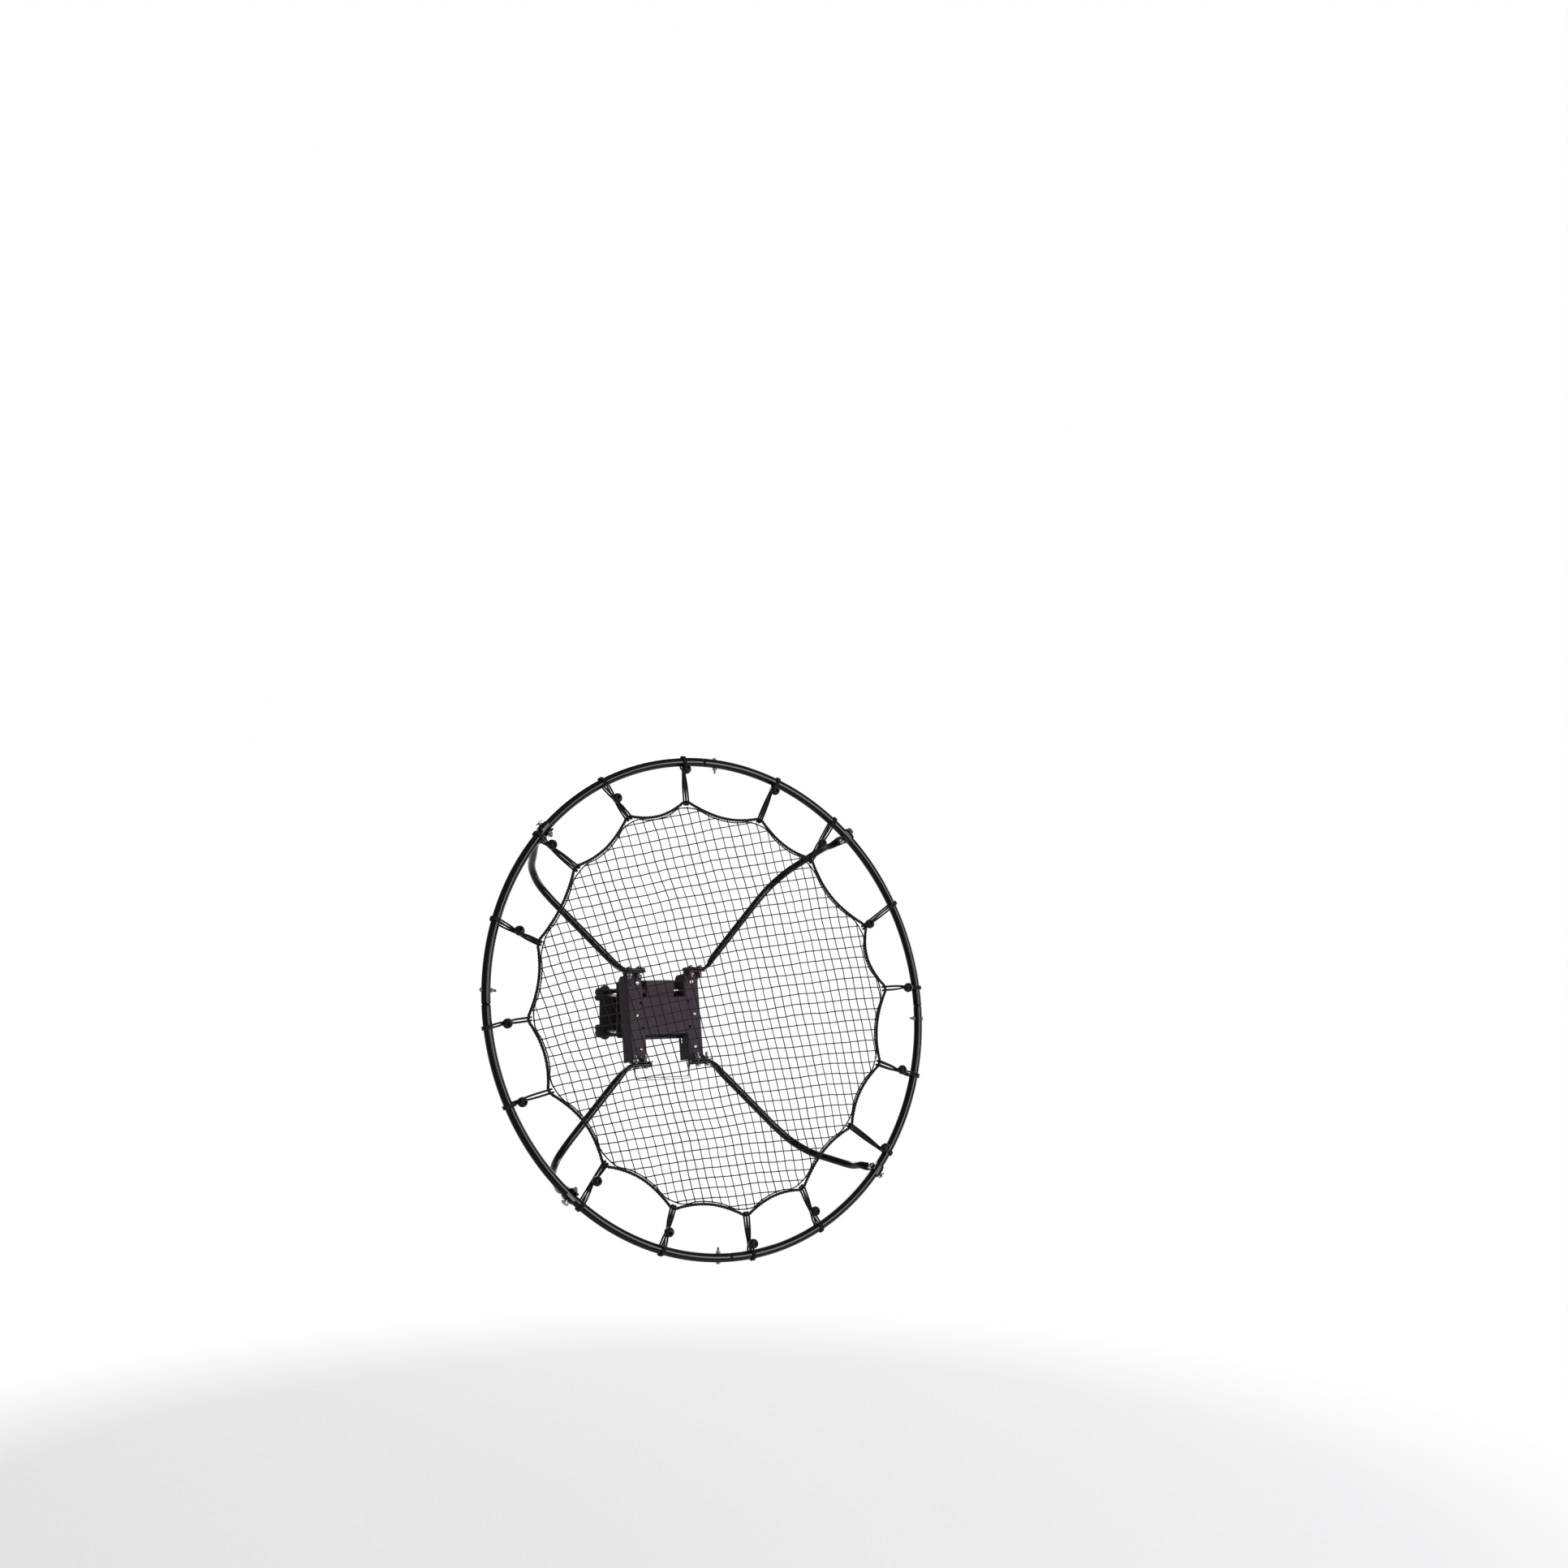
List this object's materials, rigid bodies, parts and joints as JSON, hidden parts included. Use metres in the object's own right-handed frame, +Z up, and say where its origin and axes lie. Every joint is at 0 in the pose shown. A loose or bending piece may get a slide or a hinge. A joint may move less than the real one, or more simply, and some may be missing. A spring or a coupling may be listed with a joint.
{
  "type": "passback rebounding net",
  "caption": "Round rebounding net on ball bungees in a tube hoop, carried by bent arms on a tilting frame that clamps to a square basketball pole.",
  "frame": {"origin": "middle of the front clamp plate's pole-side face, where it seats on the pole's front face", "axes": "+Y goes back into the pole, +Z is up the pole, +X is to the right as the net's player sees it"},
  "size_m": [1.2806, 0.6036, 1.264],
  "materials": {
    "gloss_black": "gloss black powder coat",
    "powder_coat": "satin charcoal powder coat",
    "zinc": "bright zinc plate",
    "chrome_wire": "polished plated wire",
    "elastic_cord": "matte black braided elastic",
    "net_cord": "matte black knotted twine"
  },
  "bodies": {
    "pole_clamp": {"front_clamp_plate": "powder_coat", "rear_clamp_jaw": "powder_coat", "tilt_block": "powder_coat", "clamp_bolt_1": "zinc", "clamp_bolt_2": "zinc", "clamp_bolt_3": "zinc", "clamp_bolt_4": "zinc"},
    "net_frame": {"h_frame": "powder_coat", "pivot_bolt": "zinc", "arm_bracket_1": "powder_coat", "arm_bracket_2": "powder_coat", "arm_bracket_3": "powder_coat", "arm_bracket_4": "powder_coat", "bracket_bolt_1": "zinc", "bracket_bolt_2": "zinc", "bracket_bolt_3": "zinc", "bracket_bolt_4": "zinc", "arm_1": "gloss_black", "arm_2": "gloss_black", "arm_3": "gloss_black", "arm_4": "gloss_black", "arm_bolt_1": "zinc", "arm_bolt_2": "zinc", "arm_bolt_3": "zinc", "arm_bolt_4": "zinc", "hoop_segment_1": "gloss_black", "hoop_segment_2": "gloss_black", "hoop_segment_3": "gloss_black", "hoop_segment_4": "gloss_black", "seam_bolt_1": "zinc", "seam_bolt_2": "zinc", "seam_bolt_3": "zinc", "seam_bolt_4": "zinc", "bail_guide_1": "zinc", "bail_guide_2": "zinc", "spring_anchor_bolt_1": "zinc", "spring_anchor_bolt_2": "zinc", "latch_spring_1": "zinc", "latch_spring_2": "zinc", "bungee_1": "elastic_cord", "bungee_2": "elastic_cord", "bungee_3": "elastic_cord", "bungee_4": "elastic_cord", "bungee_5": "elastic_cord", "bungee_6": "elastic_cord", "bungee_7": "elastic_cord", "bungee_8": "elastic_cord", "bungee_9": "elastic_cord", "bungee_10": "elastic_cord", "bungee_11": "elastic_cord", "bungee_12": "elastic_cord", "bungee_13": "elastic_cord", "bungee_14": "elastic_cord", "bungee_15": "elastic_cord", "bungee_16": "elastic_cord"},
    "release_handle": {"bail": "chrome_wire", "latch_rod": "zinc"},
    "net": {"net": "net_cord", "border_rope": "net_cord"}
  },
  "joints": [
    {"name": "tilt", "type": "hinge", "parent": "pole_clamp", "child": "net_frame", "pos_m": [0, -0.0413, 0.0494], "axis": [-1, 0, 0], "range_deg": [-9, 6]},
    {"name": "release", "type": "slide", "parent": "net_frame", "child": "release_handle", "axis": [0, -0.1564, -0.9877], "range_m": [0, 0.012], "stiffness_N_per_m": 1400, "springref_m": -0.02, "deforming": ["latch_spring_1", "latch_spring_2"]},
    {"name": "rebound", "type": "slide", "parent": "net_frame", "child": "net", "axis": [0, 0.9877, -0.1564], "range_m": [-0.04, 0.08], "stiffness_N_per_m": 2500, "deforming": ["bungee_1", "bungee_2", "bungee_3", "bungee_4", "bungee_5", "bungee_6", "bungee_7", "bungee_8", "bungee_9", "bungee_10", "bungee_11", "bungee_12", "bungee_13", "bungee_14", "bungee_15", "bungee_16"]}
  ]
}
